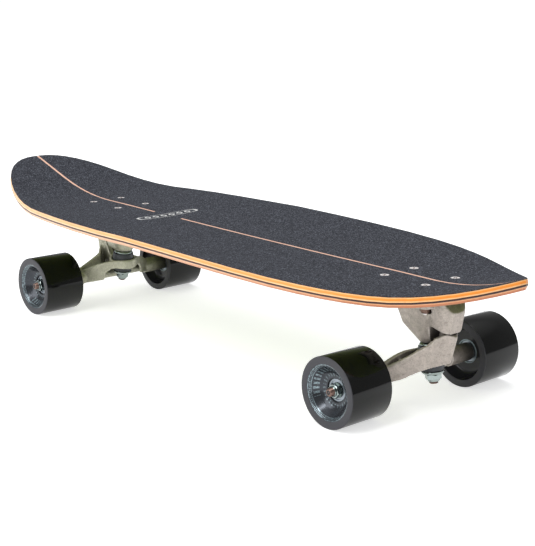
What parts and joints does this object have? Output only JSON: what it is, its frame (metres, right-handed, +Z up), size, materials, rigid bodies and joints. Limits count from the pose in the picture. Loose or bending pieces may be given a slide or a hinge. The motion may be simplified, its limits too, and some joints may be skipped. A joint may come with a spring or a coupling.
{
  "type": "surf skateboard",
  "caption": "Skateboard for surf-style riding: concave plywood deck with a grip surface on two cast steering trucks and soft wheels.",
  "frame": {"origin": "on the floor that the wheels stand on, under the middle of the deck's length and width", "axes": "+X towards the nose, +Y to the left side of a rider facing the nose, +Z up"},
  "size_m": [0.8388, 0.2538, 0.1652],
  "materials": {
    "grip": "coarse mineral grit",
    "upper_plies": "stained maple, satin",
    "dark_ply": "stained maple, satin",
    "lower_plies": "stained maple, satin",
    "steel": "plated",
    "zinc": "bright zinc plated",
    "cast": "raw sand cast, tumbled",
    "axle_steel": "dark coppery steel",
    "bushing": "satin urethane",
    "cup": "matte",
    "riser": "matte",
    "urethane": "glossy urethane",
    "bearing": "polished"
  },
  "bodies": {
    "board": {"grip_tape": "grip", "deck_upper_plies": "upper_plies", "deck_dark_ply": "dark_ply", "deck_lower_plies": "lower_plies", "front_inner_left_screw": "steel", "front_inner_right_screw": "steel", "front_outer_left_screw": "steel", "front_outer_right_screw": "steel", "rear_inner_left_screw": "steel", "rear_inner_right_screw": "steel", "rear_outer_left_screw": "steel", "rear_outer_right_screw": "steel", "front_inner_left_locknut": "zinc", "front_inner_right_locknut": "zinc", "front_outer_left_locknut": "zinc", "front_outer_right_locknut": "zinc", "rear_inner_left_locknut": "zinc", "rear_inner_right_locknut": "zinc", "rear_outer_left_locknut": "zinc", "rear_outer_right_locknut": "zinc", "front_riser_pad": "riser", "rear_riser_pad": "riser", "front_baseplate": "cast", "rear_baseplate": "cast", "front_pivot_cup": "cup", "rear_pivot_cup": "cup", "front_kingpin": "zinc", "rear_kingpin": "zinc", "front_upper_cup_washer": "zinc", "rear_upper_cup_washer": "zinc", "front_lower_cup_washer": "zinc", "rear_lower_cup_washer": "zinc", "front_kingpin_nut": "zinc", "rear_kingpin_nut": "zinc", "front_boardside_bushing": "bushing", "rear_boardside_bushing": "bushing", "front_roadside_bushing": "bushing", "rear_roadside_bushing": "bushing"},
    "front_truck_arm": {"front_hanger": "cast", "front_axle": "axle_steel", "front_left_axle_nut": "zinc", "front_right_axle_nut": "zinc"},
    "rear_truck_arm": {"rear_hanger": "cast", "rear_axle": "axle_steel", "rear_left_axle_nut": "zinc", "rear_right_axle_nut": "zinc"},
    "front_left_roller": {"front_left_wheel": "urethane", "front_left_outer_bearing": "bearing", "front_left_inner_bearing": "bearing"},
    "front_right_roller": {"front_right_wheel": "urethane", "front_right_outer_bearing": "bearing", "front_right_inner_bearing": "bearing"},
    "rear_left_roller": {"rear_left_wheel": "urethane", "rear_left_outer_bearing": "bearing", "rear_left_inner_bearing": "bearing"},
    "rear_right_roller": {"rear_right_wheel": "urethane", "rear_right_outer_bearing": "bearing", "rear_right_inner_bearing": "bearing"}
  },
  "joints": [
    {"name": "front_lean", "type": "hinge", "parent": "board", "child": "front_truck_arm", "pos_m": [0.3096, 0, 0.05], "axis": [0.4846, 0, 0.8747], "range_deg": [-20, 20], "stiffness_Nm_per_rad": 22, "deforming": ["front_boardside_bushing", "front_roadside_bushing"]},
    {"name": "rear_lean", "type": "hinge", "parent": "board", "child": "rear_truck_arm", "pos_m": [-0.2186, 0, 0.052], "axis": [-0.8269, 0, 0.5623], "range_deg": [-18, 18], "stiffness_Nm_per_rad": 26, "deforming": ["rear_boardside_bushing", "rear_roadside_bushing"]},
    {"name": "front_left_spin", "type": "hinge", "parent": "front_truck_arm", "child": "front_left_roller", "pos_m": [0.2866, 0.09155, 0.035], "axis": [0, 1, 0], "continuous": true},
    {"name": "front_right_spin", "type": "hinge", "parent": "front_truck_arm", "child": "front_right_roller", "pos_m": [0.2866, -0.09155, 0.035], "axis": [0, 1, 0], "continuous": true},
    {"name": "rear_left_spin", "type": "hinge", "parent": "rear_truck_arm", "child": "rear_left_roller", "pos_m": [-0.2431, 0.09155, 0.035], "axis": [0, 1, 0], "continuous": true},
    {"name": "rear_right_spin", "type": "hinge", "parent": "rear_truck_arm", "child": "rear_right_roller", "pos_m": [-0.2431, -0.09155, 0.035], "axis": [0, 1, 0], "continuous": true}
  ]
}
